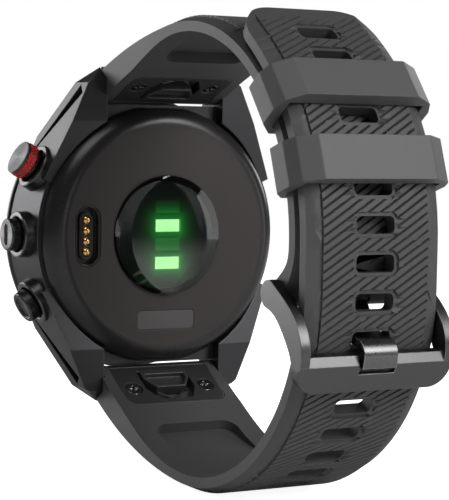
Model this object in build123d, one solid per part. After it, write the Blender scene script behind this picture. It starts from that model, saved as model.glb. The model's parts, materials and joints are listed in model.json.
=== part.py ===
"""A golf watch with its strap buckled into a loop, as separate physical pieces.

Frame, in millimetres: the origin is the centre of the sensor window, where the watch touches the wrist.
+Y points into the wrist, so the dial faces -Y. +Z points to 12 o'clock and +X to 3 o'clock, the button side.
The strap is an extrusion along X of a profile in the YZ plane. Each half follows a Route, a chain of tangent
arcs, and every piece on the strap takes its place from that route.
"""

from build123d import *
import os
from math import atan2, cos, degrees, hypot, radians, sin, sqrt

# ---------------------------------------------------------------- case
LENS_PROUD = 1.0            # sensor window above the back cover
COVER_FLAT_R = 18.4         # flat middle of the back cover
COVER_R = 22.1              # back cover at its rim
COVER_RIM_DROP = 2.8        # from the flat middle down to the rim
COVER_RIM_T = 0.5           # straight edge of the rim
COVER_WALL = 2.2
CASE_REAR_R = 22.8          # case wall, at the back cover
CASE_FRONT_R = 23.7         # case wall, at the bezel
CASE_DEPTH = 9.0            # case wall, along Y
CAVITY_R = 19.9
LUG_TIP_Z = 28.3            # inner corner of a lug's tip
LUG_TIP_DROP = 2.1          # the tip's end face leans back this far over its depth
LUG_TIP_W = 3.6             # width of the lug at its tip
LUG_SIDE_ANGLE = 23.5       # the lug's outer face is tangent to the case here
LUG_TIP_FRONT_Y = -5.0
LUG_FRONT_SLOPE = 0.70      # Y per Z on the lug's front face
LUG_REAR_RISE = 2.3         # the lug's rear face stands this far behind the case wall
CASE_FLAT_Z = 21.6          # flat edge of the back cover between two lugs
CASE_SHELF_Z = 22.1         # flat wall of the case between two lugs, close to the strap's end
LUG_POCKET_DEPTH = 1.9
LUG_POCKET_RIM = 0.6
BEZEL_R = 24.0
BEZEL_T = 2.3
GLASS_R = 19.0
GLASS_T = 1.2
GLASS_LEDGE = 1.1
DISPLAY_T = 1.2
FIT_GAP = 0.05              # between two pieces that are fitted to each other
LUG_PIN_R = 1.2
LUG_PIN_Y = -5.0
LUG_PIN_Z = 24.8
PIN_SEAT = 1.2              # depth of the lug pin's seat in each lug

# ---------------------------------------------------------------- back cover fittings
LENS_R = 10.1
LENS_T = 2.6
LENS_BEVEL_W = 2.8          # widest part of each side bevel
LENS_BEVEL_DROP = 0.75
MASK_T = 0.5
CHIP_W = 4.9
CHIP_H = 2.1
CHIP_PITCH = 3.2
CHIP_X = -0.6
CHIP_T = 0.6
PORT_X = 15.0
PORT_W = 4.8
PORT_L = 10.4
PORT_DEPTH = 2.4
PORT_RIM = 0.35             # wall round the port's well
PORT_WELL_DEPTH = 1.3
PORT_ISLAND_W = 2.5         # raised block that carries the contacts
PORT_ISLAND_L = 7.9
PORT_ISLAND_DROP = 0.55     # from the port's face down to the block
CONTACT_R = 0.78
CONTACT_PITCH = 1.8
CONTACTS = 4
PLATE_W = 11.0
PLATE_H = 3.2
PLATE_Z = -14.5
PLATE_T = 0.25
GASKET_SECTION = 0.8

# ---------------------------------------------------------------- buttons
BUTTON_ANGLES = {"upper": 28.0, "middle": 0.0, "lower": -28.0}
BUTTON_Y = -8.6
BUTTON_TRAVEL = 0.7
COLLAR_R = 3.9
COLLAR_OUT = 24.7           # radius from the case axis to the collar's face
COLLAR_SEAT = 22.0          # radius of the spot face in the case wall
COLLAR_NECK_R = 2.5
CAP_R = 2.7
CAP_TOP = 26.5
CAP_BASE = 24.3
CAP_WELL_DEPTH = 1.4        # the collar's counterbore, deep enough for the cap's travel
FACE_SLOT_W = 1.5           # slot in the middle button's face
FACE_SLOT_L = 3.6
FACE_SLOT_DEPTH = 0.3       # also the lower button's sunk disc
STEM_R = 1.2
RED_CAP_TOP = 27.7
RED_RING_R = 3.1
RED_RING_L = 1.7
RED_DISC_T = 0.5
SEAL_SECTION_R = 0.32
CLIP_R = 1.9
CLIP_T = 0.4
SWITCH_GAP = 0.1            # from a fully pressed stem to its switch

# ---------------------------------------------------------------- inside
FRAME_R = 16.8
FRAME_WALL = 0.9
FRAME_DEPTH = 6.0
BOARD_T = 0.8
BATTERY_X = 23.0
BATTERY_Z = 17.5
BATTERY_T = 3.8
MOTOR_R = 2.9
MOTOR_T = 2.4
ANTENNA_W = 1.3
ANTENNA_T = 0.5
SENSOR_BOARD_R = 10.8

# ---------------------------------------------------------------- strap
STRAP_W = 23.0
STRAP_OVERHANG = 0.3        # the strap is wider than the gap between the lugs by this much on each side
STRAP_T = 2.6
LAYER_GAP = 0.3             # between the two halves where they overlap
END_R = 2.4                 # strap end, round the lug pin
END_OUT = 3.2               # from the lug pin to the outer face
END_LEAD = 1.65             # from the lug pin to where the outer face starts
LOOP_Y = 61.3               # outer face of the clasp side
LOWER_HEADING = -32.0
LOWER_LUG_BEND_R = 67.0
LOWER_LUG_BEND = 27.0
CLASP_STRAIGHT = 6.4726      # straight run of the clasp side, between its two bends
CLASP_BEND_R = 37.0
CLASP_BEND = 47.0
TAIL_R = 62.0               # the free end bends less
TAIL_BEND = 11.5
TAIL_CORNER_R = 6.0
UPPER_HEADING = -24.0
UPPER_BREAK = -8.0          # heading where the upper half's first bend ends
UPPER_CLASP_BEND = 50.0
UPPER_END_R = 11.0          # the inner half turns in to the spring bar
UPPER_END_BEND = 33.0
UPPER_END_LEAD = 2.8
THICK_END_S = 31.0          # the wrist side is thick from the lug to here
POCKET_START = 14.5
POCKET_HALF_W = 7.6
POCKET_FLOOR = 2.5
POCKET_CORNER_R = 2.4
SLOT_W = 6.6
SLOT_L = 2.6
SLOT_R = 0.8
SLOT_PITCH = 5.6
SLOTS_ABOVE = 9
SLOTS_BELOW = 6
STRAP_BEVEL_W = 2.3         # along each side of the outer face
STRAP_BEVEL_H = 1.0

# ---------------------------------------------------------------- quick-release end links
LINK_W = 18.8
LINK_L = 9.8
LINK_T = 1.5
LINK_CORNER_R = 2.0
LATCH_TRAVEL = 2.2
LATCH_W = 7.2
LATCH_PAD_W = 8.8
LATCH_PAD_L = 3.4
LATCH_PAD_END_W = 5.6
LATCH_LIP_T = 0.8
LATCH_WEB = 1.0
SCREW_X = 6.9
SCREW_U = 5.6
SCREW_HEAD_R = 1.35
SCREW_HEAD_T = 0.7
SCREW_R = 0.7
SCREW_L = 2.6
INSERT_R = 1.3
INSERT_L = 1.5

# ---------------------------------------------------------------- keepers
KEEPER_L = 6.7
KEEPER_FACE_W = 19.4
KEEPER_W = 27.2
KEEPER_OUT_T = 2.0
KEEPER_IN_T = 1.5
KEEPER_FIT = 0.2
KEEPER_ANGLES = {"upper_keeper": 37.9, "lower_keeper": 18.9}

# ---------------------------------------------------------------- buckle
BAR_R = 0.75
BAR_BORE_GAP = 0.05
LOOP_END_R = 1.95           # end of the upper half, round the spring bar
ARM_T = 1.6
ARM_GAP = 0.25
ARM_END_R = 2.1
ARM_FRONT = [(0.136, 2.9), (0.35, 3.9), (0.6, 4.3)]      # along the arm, and out from its centre line
ARM_REAR = [(0.78, 0.4), (0.52, 0.4), (0.27, -0.2)]
RAIL_ANGLE = -19.4          # middle of the buckle's outer rail, seen from the lower bend's centre
RAIL_H = 5.5
RAIL_T = 2.1
RAIL_GAP = 0.35
RAIL_CORNER_R = 3.6
TONGUE_W = 5.8
TONGUE_T = 1.2
TONGUE_RING_R = 1.75
TONGUE_NOTCH_GAP = 0.4
TONGUE_IN_GAP = 0.65        # from the tongue to the strap's wrist side
TONGUE_BEND_R = 1.9
TONGUE_SEAT_DEPTH = 0.9     # notch in the rail
TONGUE_TIP_ANGLE = -17.6
TONGUE_SLOT_DROP = 7.4      # along the outer face, from the start of the lower bend to the slot that the tongue fills

# worked out from the sizes above
BACK_Y = -LENS_PROUD
RIM_Y = BACK_Y - COVER_RIM_DROP
CASE_REAR_Y = RIM_Y - COVER_RIM_T
CASE_FRONT_Y = CASE_REAR_Y - CASE_DEPTH
BEZEL_FRONT_Y = CASE_FRONT_Y - BEZEL_T
LUG_GAP = STRAP_W - 2 * STRAP_OVERHANG
HALF_GAP = LUG_GAP / 2
COVER_UNDER_Y = BACK_Y - COVER_WALL


# ---------------------------------------------------------------- shapes that repeat
def disc(r, y0, y1):
    """A cylinder about the case axis, from y0 to y1."""
    return Pos(0, (y0 + y1) / 2, 0) * Rot(90, 0, 0) * Cylinder(r, abs(y1 - y0))


def ring(outer, inner, y0, y1):
    return disc(outer, y0, y1) - disc(inner, min(y0, y1) - 1, max(y0, y1) + 1)


def block(x0, x1, y0, y1, z0, z1):
    return Pos((x0 + x1) / 2, (y0 + y1) / 2, (z0 + z1) / 2) * Box(abs(x1 - x0), abs(y1 - y0), abs(z1 - z0))


def turned(points):
    """Revolves a closed outline of (radius, y) points about the case axis."""
    face = make_face(Polyline(*[(r, y, 0) for r, y in points], close=True))
    return revolve(face, Axis.Y, 360)


def cone_wall(y0, r0, y1, r1):
    """A solid of revolution between two radii."""
    return turned([(0, y0), (r0, y0), (r1, y1), (0, y1)])


def extruded_x(edges, half_width):
    """Extrudes a closed outline in the YZ plane to both sides of X = 0."""
    return extrude(make_face(edges), half_width, dir=(1, 0, 0), both=True)


def polygon_x(points, half_width):
    return extruded_x(Polyline(*[(0, y, z) for y, z in points], close=True), half_width)


def plate_xz(sketch, y0, y1):
    """A flat sketch drawn in X and Z, standing from y0 to y1."""
    return extrude(Plane((0, y0, 0), x_dir=(1, 0, 0), z_dir=(0, 1, 0)) * sketch, y1 - y0)


def export(shape, name):
    export_step(Compound(children=[*shape.solids()]), f"parts/{name}.step")


# ---------------------------------------------------------------- the strap's routes
class Route:
    """A chain of tangent arcs and lines in the YZ plane, along the strap's outer face.

    The wrist is on its left. A leg is (radius, turn in degrees), or (length, 0) for a straight one.
    """

    def __init__(self, start, heading, legs):
        self.legs = []
        self.length = 0.0
        y, z = start
        for size, turn in legs:
            length = size if turn == 0 else size * radians(turn)
            self.legs.append((self.length, length, y, z, heading, size, turn))
            self.length += length
            y, z, heading = self.at(self.length)
        self.end = (y, z, heading)

    def at(self, s, offset=0.0):
        """The point s along the outer face and offset towards the wrist, and the heading there."""
        for start, length, y, z, heading, size, turn in self.legs:
            if s <= start + length or start == self.legs[-1][0]:
                break
        h = radians(heading)
        if turn == 0:
            y, z = y + (s - start) * cos(h), z + (s - start) * sin(h)
        else:
            centre = (y - size * sin(h), z + size * cos(h))
            h += (s - start) / size
            y, z = centre[0] + size * sin(h), centre[1] - size * cos(h)
        return y - offset * sin(h), z + offset * cos(h), degrees(h)

    def bend_centre(self, leg):
        _, _, y, z, heading, size, _ = self.legs[leg]
        h = radians(heading)
        return y - size * sin(h), z + size * cos(h)

    def edges(self, s0, s1, offset=0.0):
        """Edges along the route between s0 and s1, each leg one line or arc."""
        made = []
        for start, length, *_ , turn in self.legs:
            a, b = max(s0, start), min(s1, start + length)
            if b - a < 1e-6:
                continue
            pts = [(0, *self.at(s, offset)[:2]) for s in (a, (a + b) / 2, b)]
            made.append(Line(pts[0], pts[2]) if turn == 0 else ThreePointArc(*pts))
        return made

    def place(self, s, offset=0.0):
        """A location with Y along the strap and Z towards the wrist."""
        y, z, heading = self.at(s, offset)
        return Pos(0, y, z) * Rot(heading, 0, 0)


def end_start(heading):
    """Where the outer face starts: past the lug pin and outside it."""
    h = radians(heading)
    return (LUG_PIN_Y + END_LEAD * cos(h) + END_OUT * sin(h), -LUG_PIN_Z + END_LEAD * sin(h) - END_OUT * cos(h))


def lower_route():
    start = end_start(LOWER_HEADING)
    after = LOWER_HEADING + LOWER_LUG_BEND
    first = Route(start, LOWER_HEADING, [(LOWER_LUG_BEND_R, LOWER_LUG_BEND)])
    bend_r = (LOOP_Y - first.end[0]) / (1 - sin(radians(after)))
    return Route(start, LOWER_HEADING, [
        (LOWER_LUG_BEND_R, LOWER_LUG_BEND), (bend_r, 90 - after), (CLASP_STRAIGHT, 0), (CLASP_BEND_R, CLASP_BEND),
        (TAIL_R, TAIL_BEND)])


def upper_route():
    """The upper half, turned upside down so that it bends the same way as the lower one.

    Its clasp bend lies inside the lower half's, so the two radii between it and the lug are solved for.
    """
    start = end_start(UPPER_HEADING)
    r = CLASP_BEND_R - STRAP_T - LAYER_GAP
    join = radians(90 - UPPER_CLASP_BEND)
    end = (LOOP_Y - CLASP_BEND_R + r * sin(join), -CLASP_BEND_Z - r * cos(join))
    h0, h1 = radians(UPPER_HEADING), radians(UPPER_BREAK)
    a, b = sin(h1) - sin(h0), sin(join) - sin(h1)
    c, d = cos(h0) - cos(h1), cos(h1) - cos(join)
    dy, dz = end[0] - start[0], end[1] - start[1]
    det = a * d - b * c
    first_r, second_r = (dy * d - b * dz) / det, (a * dz - c * dy) / det
    return Route(start, UPPER_HEADING, [
        (first_r, UPPER_BREAK - UPPER_HEADING), (second_r, 90 - UPPER_CLASP_BEND - UPPER_BREAK),
        (r, UPPER_CLASP_BEND), (UPPER_END_R, UPPER_END_BEND), (UPPER_END_LEAD, 0)])


LOWER = lower_route()
CLASP_BEND_Z = LOWER.legs[3][3]     # the clasp bend starts here
UPPER = upper_route()
CLASP_CENTRE = (LOOP_Y - CLASP_BEND_R, CLASP_BEND_Z)
LOWER_BEND_R = LOWER.legs[1][5]
LOWER_CENTRE = LOWER.bend_centre(1)
BAR_Y, BAR_Z = UPPER.at(UPPER.length, LOOP_END_R)[0], -UPPER.at(UPPER.length, LOOP_END_R)[1]
TONGUE_SLOT_S = LOWER.legs[2][0] - TONGUE_SLOT_DROP


def flipped(shape):
    """Turns a lower end's pieces into the upper end's."""
    return shape.mirror(Plane.XY)


def at_end(shape, heading):
    """Moves a piece drawn round the lug pin (Y along the strap, Z towards the wrist) to the lower lug pin."""
    return Pos(0, LUG_PIN_Y, -LUG_PIN_Z) * Rot(heading, 0, 0) * shape


# ---------------------------------------------------------------- case
def lug(grow=0.0):
    """The lug at 3 and 12 o'clock. grow makes it larger all round, to cut the room that it needs."""
    a = radians(LUG_SIDE_ANGLE)
    r = CASE_FRONT_R + 0.1 + grow
    tip_x = HALF_GAP + LUG_TIP_W
    side_top = (r - tip_x * cos(a)) / sin(a)
    top = LUG_TIP_Z + grow
    foot_r = CAVITY_R + 0.4
    outline = [(HALF_GAP - grow, 12.0), (HALF_GAP - grow, top), (tip_x, side_top),
               (r * cos(a), r * sin(a)), (foot_r * cos(a), foot_r * sin(a))]
    face = make_face(Polyline(*[(x, 0, z) for x, z in outline], close=True))
    body = extrude(face, 40, dir=(0, 1, 0), both=True)
    far = 60.0
    front = LUG_TIP_FRONT_Y - grow - LUG_FRONT_SLOPE * (top - LUG_TIP_Z)
    rear = CASE_REAR_Y + LUG_REAR_RISE + grow
    run = CASE_REAR_Y - 0.2
    low_z = 12.0
    side = [(front, top), (rear, top - LUG_TIP_DROP), (rear, top - LUG_TIP_DROP - 7.0), (run + grow, low_z - 6), (run + grow, -2),
            (CASE_FRONT_Y, -2), (CASE_FRONT_Y, top - (front - CASE_FRONT_Y) / LUG_FRONT_SLOPE)]
    return body & polygon_x(side, far) - disc(COVER_R + 0.1 - grow, CASE_REAR_Y, CASE_REAR_Y + 9)


def lug_pocket():
    """The long three-cornered pocket in the lug's outer face."""
    a = LUG_SIDE_ANGLE
    near = LUG_POCKET_RIM
    tip_u = sqrt(max(LUG_TIP_Z ** 2 + HALF_GAP ** 2 - CASE_FRONT_R ** 2, 1.0)) - 1.9
    foot_u = tip_u - 12.2
    front = LUG_TIP_FRONT_Y + near
    rear = CASE_REAR_Y + LUG_REAR_RISE - near
    outline = [(tip_u, front), (tip_u - 1.5, rear), (foot_u, front - 11.6 * LUG_FRONT_SLOPE + 0.4),
               (foot_u, front - 11.6 * LUG_FRONT_SLOPE)]
    sketch = make_face(Polyline(*[(0, y, u) for u, y in outline], close=True))
    tool = extrude(sketch, 10, dir=(1, 0, 0))
    return Rot(0, -a, 0) * (Pos(CASE_FRONT_R - LUG_POCKET_DEPTH, 0, 0) * tool)


def four_ways(shape):
    """A lug piece at all four corners."""
    pair = [shape, shape.mirror(Plane.YZ)]
    return [*pair, *[p.mirror(Plane.XY) for p in pair]]


def button_frame(name):
    return Pos(0, BUTTON_Y, 0) * Rot(0, -BUTTON_ANGLES[name], 0)


def along_x(r, x0, x1):
    return Pos((x0 + x1) / 2, 0, 0) * Rot(0, 90, 0) * Cylinder(r, abs(x1 - x0))


def case_body():
    body = cone_wall(CASE_REAR_Y, CASE_REAR_R, CASE_FRONT_Y, CASE_FRONT_R)
    shelf = block(-HALF_GAP - 0.5, HALF_GAP + 0.5, CASE_FRONT_Y, CASE_REAR_Y, 15, CASE_SHELF_Z)
    body = body + shelf + shelf.mirror(Plane.XY)
    gap = block(-HALF_GAP, HALF_GAP, CASE_FRONT_Y - 1, CASE_REAR_Y + 1, CASE_SHELF_Z, CASE_FRONT_R + 9)
    body = body - gap - gap.mirror(Plane.XY)
    for one in four_ways(lug() - lug_pocket()):
        body = body + one
    body = body - disc(CAVITY_R, CASE_REAR_Y + 9, CASE_FRONT_Y - 1)
    for name in BUTTON_ANGLES:
        seat = along_x(COLLAR_R, COLLAR_SEAT, COLLAR_OUT + 9)
        hole = along_x(COLLAR_NECK_R + FIT_GAP, CAVITY_R - 4, COLLAR_SEAT + 1)
        body = body - button_frame(name) * (seat + hole)
    seat = Rot(0, 90, 0) * Cylinder(LUG_PIN_R, LUG_GAP + 2 * PIN_SEAT)
    body = body - Pos(0, LUG_PIN_Y, LUG_PIN_Z) * seat - Pos(0, LUG_PIN_Y, -LUG_PIN_Z) * seat
    return body


def lug_pin(side):
    return Pos(0, LUG_PIN_Y, side * LUG_PIN_Z) * Rot(0, 90, 0) * Cylinder(LUG_PIN_R, LUG_GAP + 2 * PIN_SEAT - 2 * FIT_GAP)


def bezel():
    inner = GLASS_R - GLASS_LEDGE
    chamfer_r = BEZEL_R - 1.1
    body = turned([(0, CASE_FRONT_Y), (BEZEL_R - 0.4, CASE_FRONT_Y), (BEZEL_R, CASE_FRONT_Y - 0.5),
                   (BEZEL_R, BEZEL_FRONT_Y + 1.2), (chamfer_r, BEZEL_FRONT_Y), (0, BEZEL_FRONT_Y)])
    body = body - disc(inner, CASE_FRONT_Y + 1, BEZEL_FRONT_Y - 1)
    return body - disc(GLASS_R + FIT_GAP, BEZEL_FRONT_Y + GLASS_T + 0.2, BEZEL_FRONT_Y - 1)


def front_glass():
    y0 = BEZEL_FRONT_Y + GLASS_T + 0.1
    return disc(GLASS_R, y0, y0 - GLASS_T)


def glass_seal():
    y0 = BEZEL_FRONT_Y + GLASS_T + 0.2
    return ring(GLASS_R - 0.1, GLASS_R - GLASS_LEDGE + 0.1, y0, y0 - 0.1)


def display():
    y0 = BEZEL_FRONT_Y + GLASS_T + 0.15
    return disc(GLASS_R - GLASS_LEDGE - 0.2, y0, y0 + DISPLAY_T)


def back_cover():
    mid = radians(45)
    r_mid = COVER_FLAT_R + (COVER_R - COVER_FLAT_R) * sin(mid)
    y_mid = RIM_Y + COVER_RIM_DROP * cos(mid)
    flank = make_face(
        Line((0, CASE_REAR_Y, 0), (0, BACK_Y, 0)) + Line((0, BACK_Y, 0), (COVER_FLAT_R, BACK_Y, 0))
        + ThreePointArc((COVER_FLAT_R, BACK_Y, 0), (r_mid, y_mid, 0), (COVER_R, RIM_Y, 0))
        + Line((COVER_R, RIM_Y, 0), (COVER_R, CASE_REAR_Y, 0)) + Line((COVER_R, CASE_REAR_Y, 0), (0, CASE_REAR_Y, 0)))
    body = revolve(flank, Axis.Y, 360)
    flat_room = block(-COVER_R, COVER_R, CASE_REAR_Y - 1, BACK_Y + 1, CASE_FLAT_Z, COVER_R + 1)
    body = body - flat_room - flat_room.mirror(Plane.XY)
    spigot_r = CAVITY_R - FIT_GAP
    body = body + ring(spigot_r, spigot_r - 1.6, CASE_REAR_Y + 0.1, CASE_REAR_Y - 1.7)
    body = body - disc(spigot_r - 1.6, COVER_UNDER_Y, CASE_REAR_Y - 3)
    groove_y = CASE_REAR_Y - 1.3
    body = body - ring(CAVITY_R + 1, spigot_r - GASKET_SECTION, groove_y, groove_y + GASKET_SECTION)
    body = body - disc(LENS_R + FIT_GAP, BACK_Y + 1, BACK_Y - LENS_T + LENS_PROUD) - disc(LENS_R - 1, BACK_Y, COVER_UNDER_Y - 1)
    port = SlotOverall(PORT_L + 2 * FIT_GAP, PORT_W + 2 * FIT_GAP, rotation=90)
    body = body - Pos(PORT_X, 0, 0) * plate_xz(port, COVER_UNDER_Y - 1, BACK_Y + 1)
    plate = RectangleRounded(PLATE_W + 2 * FIT_GAP, PLATE_H + 2 * FIT_GAP, 0.7)
    return body - Pos(0, 0, PLATE_Z) * plate_xz(plate, BACK_Y - PLATE_T - FIT_GAP, BACK_Y + 1)


def back_gasket():
    y0 = CASE_REAR_Y - 1.3 + FIT_GAP
    inner = CAVITY_R - FIT_GAP - GASKET_SECTION + FIT_GAP
    return ring(CAVITY_R - FIT_GAP / 2, inner, y0, y0 + GASKET_SECTION - 2 * FIT_GAP)


def rating_plate():
    return Pos(0, 0, PLATE_Z) * plate_xz(RectangleRounded(PLATE_W, PLATE_H, 0.65), BACK_Y - PLATE_T, BACK_Y - 0.03)


def sensor_lens():
    """A round window with a flat almond in the middle and a crescent bevel on each side."""
    half = LENS_R - LENS_BEVEL_W
    cone_r = (half + LENS_R ** 2 / half) / 2
    shift = cone_r - half
    base_y = -LENS_T
    body = disc(LENS_R, base_y, 0)
    spread = LENS_BEVEL_W / LENS_BEVEL_DROP
    for side in (1, -1):
        cone = cone_wall(-LENS_T - 1, cone_r + (LENS_T + 1) * spread, 0, cone_r)
        body = body & (Pos(side * shift, 0, 0) * cone)
    return body


def chips(z_rows, y0, y1):
    return Compound(children=[block(CHIP_X - CHIP_W / 2, CHIP_X + CHIP_W / 2, y0, y1, z - CHIP_H / 2, z + CHIP_H / 2)
                              for z in z_rows])


ROWS = [CHIP_PITCH * (1.5 - k) for k in range(4)]     # photodiode, lamp, photodiode, lamp, from the top
MASK_Y = -LENS_T - FIT_GAP
CHIP_Y = MASK_Y - MASK_T - 0.1


def sensor_mask():
    body = disc(LENS_R - 1 - FIT_GAP, MASK_Y, MASK_Y - MASK_T)
    for z in ROWS:
        body = body - block(CHIP_X - CHIP_W / 2, CHIP_X + CHIP_W / 2, MASK_Y + 1, MASK_Y - MASK_T - 1,
                            z - CHIP_H / 2, z + CHIP_H / 2)
    return body


def port_shell():
    y0 = BACK_Y - 0.15
    body = Pos(PORT_X, 0, 0) * plate_xz(SlotOverall(PORT_L, PORT_W, rotation=90), y0 - PORT_DEPTH, y0)
    well = SlotOverall(PORT_L - 2 * PORT_RIM, PORT_W - 2 * PORT_RIM, rotation=90)
    island = SlotOverall(PORT_ISLAND_L, PORT_ISLAND_W, rotation=90)
    body = body - Pos(PORT_X, 0, 0) * plate_xz(well, y0 - PORT_WELL_DEPTH, y0 + 1)
    body = body + Pos(PORT_X, 0, 0) * plate_xz(island, y0 - PORT_WELL_DEPTH - 0.2, y0 - PORT_ISLAND_DROP)
    for z in contact_rows():
        body = body - Pos(PORT_X, 0, z) * disc(CONTACT_R + 0.01, y0 - PORT_DEPTH - 1, y0)
    return body


def contact_rows():
    return [CONTACT_PITCH * (k - (CONTACTS - 1) / 2) for k in range(CONTACTS)]


def charge_contacts():
    tail_y = BACK_Y - 0.15 - PORT_DEPTH - 0.3
    dome_y = BACK_Y - 0.15 - PORT_ISLAND_DROP - 0.2
    pins = []
    for z in contact_rows():
        pin = disc(CONTACT_R, tail_y, dome_y) + Pos(0, dome_y, 0) * Sphere(CONTACT_R)
        pins.append(Pos(PORT_X, 0, z) * pin)
    return Compound(children=[s for p in pins for s in p.solids()])


# ---------------------------------------------------------------- buttons
STEM_END = CAVITY_R - 0.9


def button_collar(name):
    body = along_x(COLLAR_R - 0.01, COLLAR_SEAT, COLLAR_OUT) + along_x(COLLAR_NECK_R, CAVITY_R, COLLAR_SEAT)
    well_r = CAP_R + 0.25
    body = body - along_x(well_r, COLLAR_OUT - CAP_WELL_DEPTH, COLLAR_OUT + 1)
    body = body - along_x(STEM_R + 0.03, CAVITY_R - 1, COLLAR_OUT)
    body = body - along_x(STEM_R + 2 * SEAL_SECTION_R + 0.05, CAVITY_R + 0.4, COLLAR_SEAT + 0.7)
    return button_frame(name) * fillet(body.edges().filter_by(GeomType.CIRCLE).group_by(Axis.X)[-1], 0.25)


def button_cap(name):
    stem = along_x(STEM_R, STEM_END, CAP_BASE + 0.1)
    if name == "upper":
        neck = along_x(CAP_R - 0.25, CAP_BASE, RED_CAP_TOP - RED_DISC_T - RED_RING_L)
        core = along_x(CAP_R - 0.55, CAP_BASE, RED_CAP_TOP)
        top = along_x(RED_RING_R - 0.15, RED_CAP_TOP - RED_DISC_T, RED_CAP_TOP)
        body = neck + core + top
        rim = body.edges().filter_by(GeomType.CIRCLE).group_by(Axis.X)[-1]
        body = fillet(rim, 0.15)
    else:
        body = along_x(CAP_R, CAP_BASE, CAP_TOP)
        rim = body.edges().filter_by(GeomType.CIRCLE).group_by(Axis.X)[-1]
        body = fillet(rim, 0.3)
        if name == "middle":
            keyway = extrude(RectangleRounded(FACE_SLOT_W, FACE_SLOT_L, FACE_SLOT_W / 2 - 0.05), 1)
            body = body - Pos(CAP_TOP - FACE_SLOT_DEPTH, 0, 0) * Rot(0, 90, 0) * Rot(0, 0, 90) * keyway
        else:
            body = body - along_x(CAP_R - 0.75, CAP_TOP - FACE_SLOT_DEPTH, CAP_TOP + 1)
    body = body + stem
    groove = clip_seat()
    body = body - (along_x(STEM_R + 1, groove, groove + CLIP_T) - along_x(STEM_R - 0.3, groove - 1, groove + 2))
    return button_frame(name) * body


def seal_centre():
    return COLLAR_SEAT + 0.7 - SEAL_SECTION_R - 0.05


def clip_seat():
    return CAVITY_R - CLIP_T - 0.05


def button_seal(name):
    body = Pos(seal_centre(), 0, 0) * Rot(0, 90, 0) * Torus(STEM_R + SEAL_SECTION_R + 0.02, SEAL_SECTION_R)
    return button_frame(name) * body


def button_clip(name):
    x0 = clip_seat() + 0.02
    body = along_x(CLIP_R, x0, x0 + CLIP_T - 0.04) - along_x(STEM_R - 0.29, x0 - 1, x0 + 1)
    body = body - block(x0 - 1, x0 + 1, -0.6, 0.6, -CLIP_R - 1, 0)
    return button_frame(name) * body


def button_switch(name):
    face = STEM_END - BUTTON_TRAVEL - SWITCH_GAP
    dome = along_x(0.9, face - 0.3, face)
    return button_frame(name) * (block(face - 1.2, face - 0.3, -1.5, 1.5, -1.5, 1.5) + dome)


def crown_ring():
    x1 = RED_CAP_TOP - RED_DISC_T
    body = along_x(RED_RING_R, x1 - RED_RING_L, x1) - along_x(CAP_R - 0.53, x1 - RED_RING_L - 1, x1 + 1)
    return button_frame("upper") * body


# ---------------------------------------------------------------- inside the case
FRAME_FRONT_Y = BEZEL_FRONT_Y + GLASS_T + DISPLAY_T + 0.6
FRAME_REAR_Y = FRAME_FRONT_Y + FRAME_DEPTH


def inner_frame():
    body = ring(FRAME_R, FRAME_R - FRAME_WALL, FRAME_FRONT_Y, FRAME_REAR_Y)
    return body + disc(FRAME_R, FRAME_REAR_Y - 0.6, FRAME_REAR_Y)


def main_board():
    return disc(FRAME_R - FRAME_WALL - 0.2, FRAME_FRONT_Y + 0.1, FRAME_FRONT_Y + 0.1 + BOARD_T)


def battery():
    y0 = FRAME_FRONT_Y + BOARD_T + 0.4
    body = block(-BATTERY_X / 2, BATTERY_X / 2, y0, y0 + BATTERY_T, -BATTERY_Z / 2, BATTERY_Z / 2)
    return fillet(body.edges().filter_by(Axis.Y), 1.0)


def vibration_motor():
    y0 = FRAME_FRONT_Y + BOARD_T + 0.4
    z = -(BATTERY_Z / 2 + FRAME_R - FRAME_WALL) / 2 - 0.1
    return Pos(0, 0, z) * disc(MOTOR_R, y0, y0 + MOTOR_T)


def gps_antenna():
    outer = CAVITY_R - 0.4
    body = ring(outer, outer - ANTENNA_W, FRAME_FRONT_Y - 0.4, FRAME_FRONT_Y - 0.4 + ANTENNA_T)
    return body - block(-1.0, 1.0, -50, 50, 0, 50)


def sensor_board():
    y0 = CHIP_Y - CHIP_T
    return disc(SENSOR_BOARD_R, y0, y0 - 0.6)


# ---------------------------------------------------------------- strap
def in_end_frame(heading, u, n):
    h = radians(heading)
    return (0, LUG_PIN_Y + u * cos(h) - n * sin(h), -LUG_PIN_Z + u * sin(h) + n * cos(h))


def thick_end_edges(route, heading):
    """From the wrist side at the end of the thick part, back round the lug pin to the outer face."""
    inner = (0, *route.at(THICK_END_S, STRAP_T)[:2])
    far = route.at(THICK_END_S)[2]
    flat_end = in_end_frame(heading, LINK_L + 1.2, END_R)
    h = radians(heading)
    along = Vector(0, -cos(h), -sin(h))
    back = Vector(0, -cos(radians(far)), -sin(radians(far)))
    sweep = Spline(inner, flat_end, tangents=[back, along])
    top, left, foot = (in_end_frame(heading, u, n) for u, n in ((0, END_R), (-END_R, 0), (0, -END_R)))
    return [sweep, Line(flat_end, top), ThreePointArc(top, left, foot), Line(foot, (0, *route.at(0)[:2]))]


def strap_pocket(route):
    """The scooped pocket in the wrist side of the thick part."""
    end = THICK_END_S - 1.0
    floor = route.edges(POCKET_START, end, POCKET_FLOOR)
    lid = route.edges(POCKET_START, end, POCKET_FLOOR + 9.0)
    sides = [Line((0, *route.at(s, POCKET_FLOOR)[:2]), (0, *route.at(s, POCKET_FLOOR + 9.0)[:2]))
             for s in (POCKET_START, end)]
    tool = extruded_x(Wire([*[e.edge() for e in floor], *[e.edge() for e in sides], *[e.edge() for e in lid]]), POCKET_HALF_W)
    return fillet([e for e in tool.edges() if abs(e.length - 9.0) < 0.001], POCKET_CORNER_R)


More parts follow.
